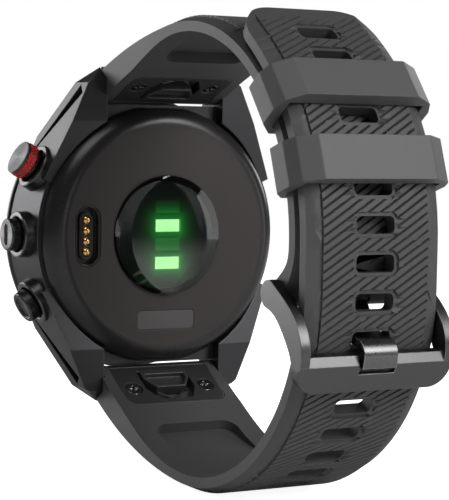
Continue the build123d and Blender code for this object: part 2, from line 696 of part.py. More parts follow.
def link_room():
    """What the rubber leaves free for the end link, in the end frame."""
    g = FIT_GAP
    room = link_plan(LINK_W + 2 * g, LINK_L + g, END_R - LINK_T - g, END_R + 9)
    room = room + Rot(0, 90, 0) * Cylinder(END_R, LINK_W + 2 * g)
    room = room + block(-LINK_W / 2 - g, LINK_W / 2 + g, -END_R - 1, 0, -LUG_PIN_R - g, END_R + 1)
    mouth = block(-STRAP_W, STRAP_W, -LUG_PIN_R - g, LUG_PIN_R + g, -END_R - 5, 0)
    latch = block(-LATCH_W / 2 - 0.3, LATCH_W / 2 + 0.3, -END_R - 1, LATCH_TRAVEL + 3.1, -END_R - 5, END_R)
    pin = Rot(0, 90, 0) * Cylinder(LUG_PIN_R + g, 4 * STRAP_W)
    shanks = [Pos(x, SCREW_U, 0) * Pos(0, 0, END_R - LINK_T - SCREW_L / 2) * Cylinder(SCREW_R + g, SCREW_L) for x in (SCREW_X, -SCREW_X)]
    inserts = [Pos(0, 0, 0) * s for s in insert_pair(g)]
    for cut in (mouth, latch, pin, *shanks, *inserts):
        room = room + cut
    return room


def insert_pair(grow=0.0):
    z = END_R - LINK_T - 0.3 - INSERT_L / 2
    return [Pos(x, SCREW_U, z) * Cylinder(INSERT_R + grow, INSERT_L + 2 * grow) for x in (SCREW_X, -SCREW_X)]


def strap_cuts(body, route, heading):
    """Bevels the long edges of the outer face, then cuts the pocket and the end link's room."""
    half = STRAP_W / 2
    section = [(half - STRAP_BEVEL_W, 0), (half, -STRAP_BEVEL_H), (half + 1, -STRAP_BEVEL_H), (half + 1, 1),
               (half - STRAP_BEVEL_W, 1)]
    y, z, h = route.at(0)
    across = Plane((0, y, z), x_dir=(1, 0, 0), z_dir=(0, cos(radians(h)), sin(radians(h))))
    path = Wire([e.edge() for e in route.edges(0, route.length)])
    bevel = sweep(across * make_face(Polyline(*section, close=True)), path)
    return body - bevel - bevel.mirror(Plane.YZ) - strap_pocket(route) - at_end(link_room(), heading)


def lug_room():
    """The two lower lugs, grown by the strap's side clearance, and the space in front of them."""
    ahead = block(HALF_GAP - 0.2, STRAP_W, -20, LUG_TIP_FRONT_Y + 0.5, 0, LUG_TIP_Z + 9)
    one = lug(0.2) + ahead
    return (one + one.mirror(Plane.YZ)).mirror(Plane.XY)


def slot_tool(route, s):
    tool = extrude(RectangleRounded(SLOT_W, SLOT_L, SLOT_R), STRAP_T + 1, both=True)
    return route.place(s, STRAP_T / 2) * tool


def lower_strap():
    end = LOWER.length
    tip = Line((0, *LOWER.at(end)[:2]), (0, *LOWER.at(end, STRAP_T)[:2]))
    outline = [*LOWER.edges(0, end), tip, *LOWER.edges(THICK_END_S, end, STRAP_T), *thick_end_edges(LOWER, LOWER_HEADING)]
    body = extruded_x(Wire([e.edge() for e in outline]), STRAP_W / 2)
    middle = LOWER.at(end, STRAP_T / 2)[:2]
    corners = [e for e in body.edges() if hypot(e.center().Y - middle[0], e.center().Z - middle[1]) < 0.1
               and abs(abs(e.center().X) - STRAP_W / 2) < 0.1]
    body = strap_cuts(fillet(corners, TAIL_CORNER_R), LOWER, LOWER_HEADING)
    for k in range(-SLOTS_BELOW, SLOTS_ABOVE + 1):
        body = body - slot_tool(LOWER, TONGUE_SLOT_S + k * SLOT_PITCH)
    return body - lug_room()


def upper_strap():
    """Drawn upside down like its route, then flipped."""
    end = UPPER.length
    bar = Pos(0, BAR_Y, -BAR_Z)
    heading = radians(UPPER.at(end)[2])
    tip = (0, BAR_Y + LOOP_END_R * cos(heading), -BAR_Z + LOOP_END_R * sin(heading))
    inner_end = (0, *UPPER.at(end, 2 * LOOP_END_R)[:2])
    loop = ThreePointArc((0, *UPPER.at(end)[:2]), tip, inner_end)
    inner_s = end - UPPER_END_LEAD - 4.0
    inner_heading = radians(UPPER.at(inner_s)[2])
    taper = Spline(inner_end, (0, *UPPER.at(inner_s, STRAP_T)[:2]),
                   tangents=[Vector(0, -cos(heading), -sin(heading)), Vector(0, -cos(inner_heading), -sin(inner_heading))])
    outline = [*UPPER.edges(0, end), loop, taper, *UPPER.edges(THICK_END_S, inner_s, STRAP_T),
               *thick_end_edges(UPPER, UPPER_HEADING)]
    body = extruded_x(Wire([e.edge() for e in outline]), STRAP_W / 2)
    body = strap_cuts(body, UPPER, UPPER_HEADING)
    body = body - bar * Rot(0, 90, 0) * Cylinder(BAR_R + BAR_BORE_GAP, STRAP_W + 2)
    notch = TONGUE_W / 2 + TONGUE_NOTCH_GAP
    body = body - bar * Rot(degrees(heading), 0, 0) * block(-notch, notch, -LOOP_END_R - 0.6, 9, -9, 9)
    return flipped(body - lug_room())


# ---------------------------------------------------------------- quick-release end links, drawn round the lug pin
def link_plan(width, length, n0, n1):
    """The end link's plate in plan, from the pin outwards, with its far corners rounded."""
    body = block(-width / 2, width / 2, 0, length, n0, n1)
    corners = body.edges().filter_by(Axis.Z).group_by(Axis.Y)[-1]
    return fillet(corners, LINK_CORNER_R)


def latch_pad(grow=0.0, travel=0.0):
    """The finger pad in plan: wide at the case and narrower away from it."""
    u0 = LUG_PIN_R + 0.4
    length = LATCH_WEB + LATCH_PAD_L
    wide, narrow = LATCH_PAD_W / 2 + grow, LATCH_PAD_END_W / 2 + grow
    shoulder, u1 = u0 + length * 0.45 + travel, u0 + length + travel + grow
    pts = [(-wide, u0 - grow), (wide, u0 - grow), (wide, shoulder), (narrow, u1), (-narrow, u1), (-wide, shoulder)]
    return make_face(Polyline(*[(x, u, 0) for x, u in pts], close=True))


def end_link():
    barrel_r = END_R - FIT_GAP
    body = Rot(0, 90, 0) * Cylinder(barrel_r, LINK_W)
    body = body + link_plan(LINK_W, LINK_L, END_R - LINK_T, END_R)
    body = body - Rot(0, 90, 0) * Cylinder(LUG_PIN_R + FIT_GAP, LINK_W + 2)
    body = body - block(-LINK_W, LINK_W, -LUG_PIN_R - FIT_GAP, LUG_PIN_R + FIT_GAP, -END_R - 1, 0)
    window = extrude(Pos(0, 0, END_R - LINK_T - 1) * latch_pad(0.3, LATCH_TRAVEL), 9)
    body = body - window
    slot = block(-LATCH_W / 2 - 0.25, LATCH_W / 2 + 0.25, LUG_PIN_R + 0.1, LUG_PIN_R + 1.8 + LATCH_TRAVEL, -END_R - 1, END_R)
    lip_room = block(-LATCH_W / 2 - 0.25, LATCH_W / 2 + 0.25, -END_R - 1, END_R + 3, -END_R - 1, -LUG_PIN_R - FIT_GAP)
    body = body - slot - lip_room
    for x in (SCREW_X, -SCREW_X):
        body = body - Pos(x, SCREW_U, 0) * Cylinder(SCREW_R + FIT_GAP, 20)
        body = body - Pos(x, SCREW_U, END_R - SCREW_HEAD_T - 0.1 + 5) * Cylinder(SCREW_HEAD_R + 0.15, 10)
    return body


def end_latch():
    pad_base = END_R - LINK_T + 0.1
    pad = extrude(Pos(0, 0, pad_base) * latch_pad(), LINK_T + 0.35)
    hollow = extrude(Pos(0, 0, END_R - 0.4) * offset(latch_pad(), -0.7, kind=Kind.INTERSECTION), 5)
    pad = pad - Pos(0, 0.3, 0) * hollow
    web_u = LUG_PIN_R + 0.4
    lip_n = -LUG_PIN_R - 0.15
    web = block(-LATCH_W / 2, LATCH_W / 2, web_u, web_u + LATCH_WEB, lip_n - LATCH_LIP_T, pad_base + 0.2)
    lip = block(-LATCH_W / 2, LATCH_W / 2, -0.6, web_u + LATCH_WEB, lip_n - LATCH_LIP_T, lip_n)
    return pad + web + lip


def link_screws():
    made = []
    for x in (SCREW_X, -SCREW_X):
        top = END_R - 0.1
        head = Pos(0, 0, top - SCREW_HEAD_T / 2) * Cylinder(SCREW_HEAD_R, SCREW_HEAD_T)
        drive = Pos(0, 0, top) * (Box(1.7, 0.4, 0.7) + Box(0.4, 1.7, 0.7))
        shank = Pos(0, 0, top - SCREW_HEAD_T - SCREW_L / 2 + 0.1) * Cylinder(SCREW_R, SCREW_L)
        made += (Pos(x, SCREW_U, 0) * (head - drive + shank)).solids()
    return Compound(children=made)


def link_inserts():
    made = []
    for one, x in zip(insert_pair(), (SCREW_X, -SCREW_X)):
        made += (one - Pos(x, SCREW_U, 0) * Cylinder(SCREW_R + 0.01, 20)).solids()
    return Compound(children=made)


def latch_spring():
    """A bent leaf between the latch pad and the end of its window."""
    u0 = LUG_PIN_R + 0.4 + LATCH_WEB + LATCH_PAD_L + 0.05
    u1 = u0 + LATCH_TRAVEL - 0.05
    t, half = 0.18, LATCH_PAD_END_W / 2 - 0.3
    line = [(-half, u0), (0, u1 - t), (half, u0), (half, u0 + t), (0, u1), (-half, u0 + t)]
    return extrude(Pos(0, 0, END_R - LINK_T + 0.2) * make_face(Polyline(*[(x, u, 0) for x, u in line], close=True)), 0.7)


# ---------------------------------------------------------------- keepers
def keeper(name):
    """A rubber loop. Its window is an arc about the clasp bend's centre, so it slides round the bend."""
    fit = KEEPER_FIT
    top = KEEPER_FIT + KEEPER_OUT_T
    bottom = -(2 * STRAP_T + LAYER_GAP + fit + KEEPER_IN_T)
    half, face = KEEPER_W / 2, KEEPER_FACE_W / 2
    side = [(face, top), (half - 0.9, top - 1.6), (half, -1.5), (half, -5.0), (half - 2.0, bottom)]
    outline = [*side, *[(-x, n) for x, n in reversed(side)]]
    section = Plane((0, 0, 0), x_dir=(1, 0, 0), z_dir=(0, -1, 0)) * make_face(Polyline(*outline, close=True))
    body = Pos(0, 0, CLASP_BEND_R) * extrude(section, KEEPER_L / 2, both=True)
    body = fillet(body.edges().filter_by(Axis.Y), 0.7)
    outer, inner = CLASP_BEND_R + fit, CLASP_BEND_R - 2 * STRAP_T - LAYER_GAP - fit
    tube = Rot(0, 90, 0) * (Cylinder(outer, STRAP_W + 2 * fit) - Cylinder(inner, STRAP_W + 2 * fit))
    body = body - (tube & block(-50, 50, -10, 10, 0, 90))
    return Pos(0, *CLASP_CENTRE) * Rot(KEEPER_ANGLES[name] - 90, 0, 0) * body


# ---------------------------------------------------------------- buckle
def polar(centre, r, angle):
    return centre[0] + r * cos(radians(angle)), centre[1] + r * sin(radians(angle))


ARM_IN = STRAP_W / 2 + ARM_GAP
ARM_OUT = ARM_IN + ARM_T
RAIL_IN_R = LOWER_BEND_R + RAIL_GAP
RAIL_MID = polar(LOWER_CENTRE, RAIL_IN_R + RAIL_T / 2, RAIL_ANGLE)


def rail():
    """The outer rail across the strap, with a bevel along its upper edge and a notch for the tongue."""
    body = Box(2 * ARM_OUT, RAIL_T, RAIL_H)
    low = body.edges().filter_by(Axis.Y).group_by(Axis.Z)[0]
    body = fillet(low, RAIL_CORNER_R)
    upper = body.edges().filter_by(Axis.X).group_by(Axis.Z)[-1].sort_by(Axis.Y)[-1]
    body = chamfer(upper, 0.9, 1.2)
    lower_edges = body.faces().sort_by(Axis.Y)[-1].edges().group_by(Axis.Z)[0]
    body = fillet(lower_edges, 0.4)
    half = TONGUE_W / 2 + 0.25
    notch = block(-half, half, RAIL_T / 2 - TONGUE_SEAT_DEPTH, RAIL_T, RAIL_H / 2 - 2.6, RAIL_H)
    return Pos(0, *RAIL_MID) * Rot(RAIL_ANGLE, 0, 0) * (body - notch)


def arm():
    """One side arm, a curved plate from the spring bar to the rail."""
    ax, az = BAR_Y, BAR_Z
    run = (RAIL_MID[0] - ax, RAIL_MID[1] - az)
    length = hypot(*run)
    t = (run[0] / length, run[1] / length)
    m = (-t[1], t[0])
    rail_n = polar((0, 0), 1, RAIL_ANGLE)
    rail_t = (rail_n[1], -rail_n[0])

    def spot(along, out):
        return (0, ax + t[0] * along + m[0] * out, az + t[1] * along + m[1] * out)

    def rail_spot(out, up):
        return (0, RAIL_MID[0] + rail_n[0] * out - rail_t[0] * up, RAIL_MID[1] + rail_n[1] * out - rail_t[1] * up)

    corner_up = RAIL_H / 2
    lean = ARM_END_R * 0.7
    front_start, rear_end = spot(-lean, lean), spot(lean, -lean)
    front = Spline(front_start, *[spot(length * a, o) for a, o in ARM_FRONT], rail_spot(RAIL_T / 2, corner_up - 1.6))
    rear = Spline(rail_spot(-RAIL_T / 2, corner_up - 2.0), *[spot(length * a, o) for a, o in ARM_REAR], rear_end)
    end = ThreePointArc(rear_end, spot(-lean, -lean), front_start)
    cap = Line(rail_spot(RAIL_T / 2, corner_up - 1.6), rail_spot(-RAIL_T / 2, corner_up - 2.0))
    face = make_face([front.edge(), cap.edge(), rear.edge(), end.edge()])
    body = Pos(ARM_IN, 0, 0) * extrude(face, ARM_T, dir=(1, 0, 0))
    return body


def buckle_frame():
    one = arm()
    body = rail() + one + one.mirror(Plane.YZ)
    seat = Pos(0, BAR_Y, BAR_Z) * Rot(0, 90, 0) * Cylinder(BAR_R, 2 * ARM_OUT - 1.0)
    return body - seat


def spring_bar():
    return Pos(0, BAR_Y, BAR_Z) * Rot(0, 90, 0) * Cylinder(BAR_R - 0.01, 2 * ARM_OUT - 1.1)


def tongue():
    """A hook from the spring bar, straight out through the strap's slot and down to the notch in the rail."""
    c = LOWER_CENTRE
    cross = -degrees(TONGUE_SLOT_DROP / LOWER_BEND_R)
    inside_r = LOWER_BEND_R - STRAP_T - TONGUE_IN_GAP - TONGUE_T / 2
    seat_r = RAIL_IN_R + RAIL_T - TONGUE_SEAT_DEPTH + 0.25 + TONGUE_T / 2
    spine = [(BAR_Y, BAR_Z), polar(c, inside_r, cross), polar(c, seat_r, cross), polar(c, seat_r, TONGUE_TIP_ANGLE)]
    line = FilletPolyline(*[(0, y, z) for y, z in spine], radius=TONGUE_BEND_R)
    near = offset_side(line, TONGUE_T / 2)
    far = offset_side(line, -TONGUE_T / 2)
    face = make_face([near, Line(near @ 1, far @ 1).edge(), far, Line(far @ 0, near @ 0).edge()])
    body = extrude(face, TONGUE_W / 2, dir=(1, 0, 0), both=True)
    bar = Pos(0, BAR_Y, BAR_Z) * Rot(0, 90, 0)
    body = body + bar * Cylinder(TONGUE_RING_R, TONGUE_W)
    return body - bar * Cylinder(BAR_R + BAR_BORE_GAP, TONGUE_W + 2)


def offset_side(line, distance, steps=24):
    """A spline beside a line in the YZ plane."""
    points = []
    for k in range(steps + 1):
        p, t = line @ (k / steps), line % (k / steps)
        points.append((0, p.Y - distance * t.Z, p.Z + distance * t.Y))
    return Spline(*points).edge()


# ---------------------------------------------------------------- the list of pieces
def build():
    made = {
        "case_body": case_body(), "bezel": bezel(), "front_glass": front_glass(), "glass_seal": glass_seal(),
        "display": display(), "back_cover": back_cover(), "back_gasket": back_gasket(), "rating_plate": rating_plate(),
        "sensor_lens": sensor_lens(), "sensor_mask": sensor_mask(), "sensor_board": sensor_board(),
        "sensor_lamps": chips(ROWS[1::2], CHIP_Y, CHIP_Y - CHIP_T),
        "photodiodes": chips(ROWS[0::2], CHIP_Y, CHIP_Y - CHIP_T),
        "port_shell": port_shell(), "charge_contacts": charge_contacts(),
        "inner_frame": inner_frame(), "main_board": main_board(), "battery": battery(),
        "vibration_motor": vibration_motor(), "gps_antenna": gps_antenna(),
        "upper_lug_pin": lug_pin(1), "lower_lug_pin": lug_pin(-1),
        "crown_ring": crown_ring(),
    }
    for name in BUTTON_ANGLES:
        made[f"{name}_button"] = button_cap(name)
        made[f"{name}_button_collar"] = button_collar(name)
        made[f"{name}_button_seal"] = button_seal(name)
        made[f"{name}_button_clip"] = button_clip(name)
        made[f"{name}_button_switch"] = button_switch(name)
    ends = {"end_link": end_link, "latch": end_latch, "link_screws": link_screws,
            "link_inserts": link_inserts, "latch_spring": latch_spring}
    for name, make in ends.items():
        made[f"lower_{name}"] = at_end(make(), LOWER_HEADING)
        made[f"upper_{name}"] = flipped(at_end(make(), UPPER_HEADING))
    made["lower_strap"] = lower_strap()
    made["upper_strap"] = upper_strap()
    for name in KEEPER_ANGLES:
        made[name] = keeper(name)
    made["buckle_frame"] = buckle_frame()
    made["spring_bar"] = spring_bar()
    made["buckle_tongue"] = tongue()
    return made


os.makedirs("parts", exist_ok=True)
for node, solid in build().items():
    export(solid, node)
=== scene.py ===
"""The golf watch's looks: finishes, ribbed straps, knurled button, softened edges, light and camera."""

import json
import math

import bmesh
import bpy
from mathutils import Matrix, Vector


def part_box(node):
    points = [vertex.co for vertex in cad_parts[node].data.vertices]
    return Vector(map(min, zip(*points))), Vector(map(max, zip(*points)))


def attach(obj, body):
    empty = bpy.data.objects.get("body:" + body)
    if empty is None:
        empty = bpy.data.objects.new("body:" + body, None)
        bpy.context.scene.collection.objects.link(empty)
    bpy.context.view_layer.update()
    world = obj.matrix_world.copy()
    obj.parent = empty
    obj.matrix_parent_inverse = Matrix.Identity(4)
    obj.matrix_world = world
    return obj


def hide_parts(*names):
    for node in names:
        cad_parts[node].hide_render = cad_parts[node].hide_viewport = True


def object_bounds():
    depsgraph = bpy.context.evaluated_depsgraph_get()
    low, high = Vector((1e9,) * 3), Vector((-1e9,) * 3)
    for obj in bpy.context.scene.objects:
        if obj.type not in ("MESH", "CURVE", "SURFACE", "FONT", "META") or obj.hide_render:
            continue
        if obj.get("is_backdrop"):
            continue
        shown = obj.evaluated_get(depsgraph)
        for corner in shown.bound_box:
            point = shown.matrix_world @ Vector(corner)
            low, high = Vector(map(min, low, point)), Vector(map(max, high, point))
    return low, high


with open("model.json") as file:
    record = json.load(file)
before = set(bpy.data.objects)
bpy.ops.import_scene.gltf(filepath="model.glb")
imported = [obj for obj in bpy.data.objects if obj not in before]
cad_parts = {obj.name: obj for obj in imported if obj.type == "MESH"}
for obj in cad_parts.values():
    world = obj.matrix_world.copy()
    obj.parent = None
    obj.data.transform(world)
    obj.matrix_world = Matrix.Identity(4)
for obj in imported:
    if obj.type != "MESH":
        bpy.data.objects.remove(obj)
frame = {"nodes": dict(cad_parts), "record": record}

CAD_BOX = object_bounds()
NODES = frame["nodes"]
MM = 0.001

# ------------------------------------------------------------ sizes repeated from the part, in millimetres
LUG_PIN_Y, LUG_PIN_Z = -5.0, -24.8
END_OUT, END_LEAD = 3.2, 1.65
LOOP_Y = 61.3
CLASP_BEND_Z, CLASP_BEND_R, CLASP_BEND = 2.0, 37.0, 47.0
STRAP_T, LAYER_GAP = 2.6, 0.3
SLOT_W, SLOT_L, SLOT_PITCH = 6.6, 2.6, 5.6
SLOTS_BELOW, SLOTS_ABOVE = 6, 9
TONGUE_SLOT_DROP = 7.4
BUTTON_Y = -8.6
BUTTON_ANGLES = {"upper": 28.0, "middle": 0.0, "lower": -28.0}
CHIP_X = -0.6
LAMP_ROWS = (1.6, -4.8)
COVER_FLAT_R = 18.4
RING_R, RING_BORE_R = 3.1, 2.0

# ------------------------------------------------------------ the knurl of the red ring
KNURL_TEETH = 30
KNURL_ROWS = 3
KNURL_DEPTH = 0.28

# ------------------------------------------------------------ the ribbed band on each strap's outer face
BAND_HALF = 9.2             # to the top of the bevel
RIB_RISE = 0.36             # the ribs stand this far above the lips and the margins
RIB_PITCH = 1.28
RIB_ANGLE = 31.0
GROOVE_HALF = 0.2
GROOVE_DEPTH = 0.44
CROSS_STEP = 1.9            # the band is divided this often so that it bends smoothly
LIP = 0.55                  # smooth lip round a slot
LIP_CORNER = 0.8
WALL = 0.035                # width that a rib's end wall takes up
ON_LINE = 0.001             # a point this close to a line is on it
NEAR_SLOT = (5.5, 4.5)      # faces within this of a slot's middle are cut for its lip
RUBBER_CREASE = 24.0
RIBS_START = 21.0           # from the strap's end to the first rib


def polar(radius, angle):
    return radius * math.cos(math.radians(angle)), radius * math.sin(math.radians(angle))


# ------------------------------------------------------------ a strap's route, as in the part
class StrapRoute:
    """A chain of tangent arcs in the YZ plane along the outer face, with the wrist on its left."""

    def __init__(self, start, heading, legs):
        self.legs, self.length = [], 0.0
        y, z = start
        for size, turn in legs:
            run = size if turn == 0 else size * math.radians(turn)
            self.legs.append((self.length, run, y, z, math.radians(heading), size, turn))
            self.length += run
            y, z = self.bent(self.length, 0.0)
            heading += turn
        self.end = (y, z)

    def bent(self, s, n):
        """From the flat strap to the bent one."""
        for start, run, y, z, h, size, turn in self.legs:
            if s <= start + run:
                break
        if turn == 0:
            y, z = y + (s - start) * math.cos(h), z + (s - start) * math.sin(h)
        else:
            cy, cz = y - size * math.sin(h), z + size * math.cos(h)
            h += (s - start) / size
            y, z = cy + size * math.sin(h), cz - size * math.cos(h)
        return y - n * math.sin(h), z + n * math.cos(h)

    def flat(self, y, z):
        """From the bent strap to the flat one."""
        best = None
        for i, (start, run, y0, z0, h, size, turn) in enumerate(self.legs):
            if turn == 0:
                dy, dz = y - y0, z - z0
                s, n = dy * math.cos(h) + dz * math.sin(h), dz * math.cos(h) - dy * math.sin(h)
            else:
                dy, dz = y - (y0 - size * math.sin(h)), z - (z0 + size * math.cos(h))
                swing = math.atan2(dy * math.cos(h) + dz * math.sin(h), dy * math.sin(h) - dz * math.cos(h))
                s, n = swing * size, size - math.hypot(dy, dz)
            first, last = i == 0, i == len(self.legs) - 1
            miss = max(0.0 if first else -s, 0.0 if last else s - run, 0.0)
            score = miss * 1000 + abs(n)
            if best is None or score < best[0]:
                best = (score, start + s, n)
        return best[1], best[2]


def end_start(heading):
    h = math.radians(heading)
    return (LUG_PIN_Y + END_LEAD * math.cos(h) + END_OUT * math.sin(h),
            LUG_PIN_Z + END_LEAD * math.sin(h) - END_OUT * math.cos(h))


def lower_route():
    heading, lug_bend, lug_bend_r = -32.0, 27.0, 67.0
    start, after = end_start(heading), heading + lug_bend
    first = StrapRoute(start, heading, [(lug_bend_r, lug_bend)])
    bend_r = (LOOP_Y - first.end[0]) / (1 - math.sin(math.radians(after)))
    straight = CLASP_BEND_Z - first.end[1] - bend_r * math.cos(math.radians(after))
    return StrapRoute(start, heading, [(lug_bend_r, lug_bend), (bend_r, 90 - after), (straight, 0),
                                       (CLASP_BEND_R, CLASP_BEND), (62.0, 11.5)])


def upper_route():
    heading, clasp_bend, knee = -24.0, 50.0, -8.0
    start = end_start(heading)
    r = CLASP_BEND_R - STRAP_T - LAYER_GAP
    join, h0, h1 = math.radians(90 - clasp_bend), math.radians(heading), math.radians(knee)
    end = (LOOP_Y - CLASP_BEND_R + r * math.sin(join), -CLASP_BEND_Z - r * math.cos(join))
    a, b = math.sin(h1) - math.sin(h0), math.sin(join) - math.sin(h1)
    c, d = math.cos(h0) - math.cos(h1), math.cos(h1) - math.cos(join)
    dy, dz, det = end[0] - start[0], end[1] - start[1], a * d - b * c
    first_r, second_r = (dy * d - b * dz) / det, (a * dz - c * dy) / det
    return StrapRoute(start, heading, [(first_r, knee - heading), (second_r, 90 - clasp_bend - knee),
                                       (r, clasp_bend), (11.0, 33.0), (2.8, 0)])


LOWER, UPPER = lower_route(), upper_route()
TONGUE_SLOT_S = LOWER.legs[2][0] - TONGUE_SLOT_DROP


# ------------------------------------------------------------ meshes
def merged_copy(node):
    """A part's triangles as one closed bmesh."""
    bm = bmesh.new()
    source = NODES[node].data.copy()
    for name in [a.name for a in source.attributes if not a.is_required and not a.is_internal]:
        source.attributes.remove(source.attributes[name])
    bm.from_mesh(source)
    bpy.data.meshes.remove(source)
    bmesh.ops.remove_doubles(bm, verts=bm.verts, dist=2e-7)
    bmesh.ops.dissolve_degenerate(bm, dist=1e-7, edges=bm.edges)
    bmesh.ops.dissolve_limit(bm, angle_limit=math.radians(0.03), use_dissolve_boundaries=False,
                             verts=bm.verts, edges=bm.edges)
    return bm


def piece_from(bm, name, body, finish, nodes=(), crease=32.0):
    mesh = bpy.data.meshes.new(name)
    bm.normal_update()
    bm.to_mesh(mesh)
    bm.free()
    for face in mesh.polygons:
        face.use_smooth = True
    mesh.set_sharp_from_angle(angle=math.radians(crease))
    piece = bpy.data.objects.new(name, mesh)
    bpy.context.scene.collection.objects.link(piece)
    mesh.materials.append(finish)
    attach(piece, body)
    if nodes:
        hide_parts(*nodes)
    return piece


def softened(node, body, finish, width, segments=2, angle=32.0):
    """A part with its edges broken, as tumbling and polishing leave them."""
    piece = piece_from(merged_copy(node), node + "_finished", body, finish, [node], crease=angle)
    broken = piece.modifiers.new("edges", "BEVEL")
    broken.width = width * MM
    broken.segments = segments
    broken.limit_method = "ANGLE"
    broken.angle_limit = math.radians(angle)
    broken.use_clamp_overlap = False
    broken.harden_normals = True
    return piece


def cut(bm, faces, place, facing):
    """Cuts the faces along a plane and returns the faces that result and the new points."""
    geom = set(faces)
    for face in faces:
        geom.update(face.edges)
        geom.update(face.verts)
    done = bmesh.ops.bisect_plane(bm, geom=list(geom), dist=1e-8, plane_co=place, plane_no=facing)
    pieces = [g for g in done["geom"] if isinstance(g, bmesh.types.BMFace)]
    return pieces, [g for g in done["geom_cut"] if isinstance(g, bmesh.types.BMVert)]


def ribbed_strap(node, route, side, slots, ribs, finish):
    """Lays the strap's mesh flat, cuts the ribs and the lips round its slots, and bends it back."""
    bm = merged_copy(node)
    for v in bm.verts:
        s, n = route.flat(v.co.y / MM, side * v.co.z / MM)
        v.co = Vector((v.co.x, s * MM, n * MM))
    steps = int(route.length / CROSS_STEP)
    for k in range(1, steps):
        cut(bm, bm.faces[:], (0, k * CROSS_STEP * MM, 0), (0, 1, 0))

    def on_band(face):
        middle = face.calc_center_median()
        return abs(middle.x) < BAND_HALF * MM and max(abs(v.co.z) for v in face.verts) < 1e-6

    for sign in (-1, 1):
        cut(bm, [f for f in bm.faces if on_band(f)], (sign * (BAND_HALF - WALL) * MM, 0, 0), (1, 0, 0))
    half_w, half_l = SLOT_W / 2 + LIP, SLOT_L / 2 + LIP
    corner = (half_w + half_l - LIP_CORNER) / math.sqrt(2)
    lines = [((sx, 0), half_w) for sx in (-1, 1)] + [((0, sy), half_l) for sy in (-1, 1)]
    lines += [((sx / math.sqrt(2), sy / math.sqrt(2)), corner) for sx in (-1, 1) for sy in (-1, 1)]

    def past_lip(v):
        """How far a point lies outside the lip of its nearest slot."""
        x, s = v.co.x / MM, v.co.y / MM
        return min((max(x * nx + (s - c) * ny - far for (nx, ny), far in lines) for c in slots), default=9.0)

    for centre in slots:
        near = [f for f in bm.faces if on_band(f) and abs(f.calc_center_median().x / MM) < NEAR_SLOT[0]
                and abs(f.calc_center_median().y / MM - centre) < NEAR_SLOT[1]]
        for (nx, ny), far in lines:
            for reach in (far, far + WALL):
                near, _ = cut(bm, near, (nx * reach * MM, (centre + ny * reach) * MM, 0), (nx, ny, 0))
    cells = {}

    def keep(faces):
        for face in faces:
            cells.setdefault(int(face.calc_center_median().y / MM / 2), set()).add(face)

    first, last = ribs
    keep(f for f in bm.faces if on_band(f))
    reach = BAND_HALF * math.tan(math.radians(RIB_ANGLE))
    facing = Vector((side * math.sin(math.radians(RIB_ANGLE)), math.cos(math.radians(RIB_ANGLE)), 0))
    sunk = []
    for k in range(int((last - first + 2 * reach) / RIB_PITCH)):
        middle = first - reach + k * RIB_PITCH
        span = range(int((middle - reach - 2) / 2) - 1, int((middle + reach + 2) / 2) + 2)
        faces = set().union(*[cells.pop(c, set()) for c in span])
        for offset in (-GROOVE_HALF, 0.0, GROOVE_HALF):
            faces, points = cut(bm, faces, Vector((0, middle * MM, 0)) + facing * offset * MM, facing)
            if offset == 0.0:
                sunk += points
        keep(faces)

    def ribbed(v):
        return abs(v.co.x) <= (BAND_HALF - ON_LINE) * MM and past_lip(v) >= ON_LINE

    def in_reach(v):
        return first < v.co.y / MM < last

    base = [v for v in bm.verts if abs(v.co.z) <= 1e-6 and in_reach(v) and not ribbed(v)]
    deep = [v for v in sunk if v.is_valid and in_reach(v) and ribbed(v)]
    for v in base:
        v.co.z = RIB_RISE * MM
    for v in deep:
        v.co.z = GROOVE_DEPTH * MM
    for v in bm.verts:
        y, z = route.bent(v.co.y / MM, v.co.z / MM)
        v.co = Vector((v.co.x, y * MM, side * z * MM))
    bmesh.ops.triangulate(bm, faces=[f for f in bm.faces if len(f.verts) > 4])
    return piece_from(bm, node + "_ribbed", "watch", finish, [node], crease=RUBBER_CREASE)


# ------------------------------------------------------------ shader node helpers
def node_group(name, inputs, outputs):
    group = bpy.data.node_groups.new(name, "ShaderNodeTree")
    for label, kind, value in inputs:
        socket = group.interface.new_socket(label, in_out="INPUT", socket_type=kind)
        if value is not None:
            socket.default_value = value
    for label, kind in outputs:
        group.interface.new_socket(label, in_out="OUTPUT", socket_type=kind)
    return group, group.nodes.new("NodeGroupInput"), group.nodes.new("NodeGroupOutput")


def math_node(tree, operation, a, b=None, clamp=False):
    node = tree.nodes.new("ShaderNodeMath")
    node.operation = operation
    node.use_clamp = clamp
    for socket, value in zip(node.inputs, (a, b)):
        if value is None:
            continue
        if isinstance(value, (int, float)):
            socket.default_value = value
        else:
            tree.links.new(value, socket)
    return node.outputs[0]


def noise(tree, vector, scale, detail=3.0, roughness=0.55):
    node = tree.nodes.new("ShaderNodeTexNoise")
    tree.links.new(vector, node.inputs["Vector"])
    if isinstance(scale, (int, float)):
        node.inputs["Scale"].default_value = scale
    else:
        tree.links.new(scale, node.inputs["Scale"])
    node.inputs["Detail"].default_value = detail
    node.inputs["Roughness"].default_value = roughness
    return node.outputs["Fac"]


def mix_colour(tree, factor, a, b, blend="MIX"):
    node = tree.nodes.new("ShaderNodeMix")
    node.data_type = "RGBA"
    node.blend_type = blend
    for socket, value in ((node.inputs[0], factor), (node.inputs[6], a), (node.inputs[7], b)):
        if isinstance(value, (int, float)):
            socket.default_value = value
        elif isinstance(value, tuple):
            socket.default_value = (*value, 1)[:4]
        else:
            tree.links.new(value, socket)
    return node.outputs[2]


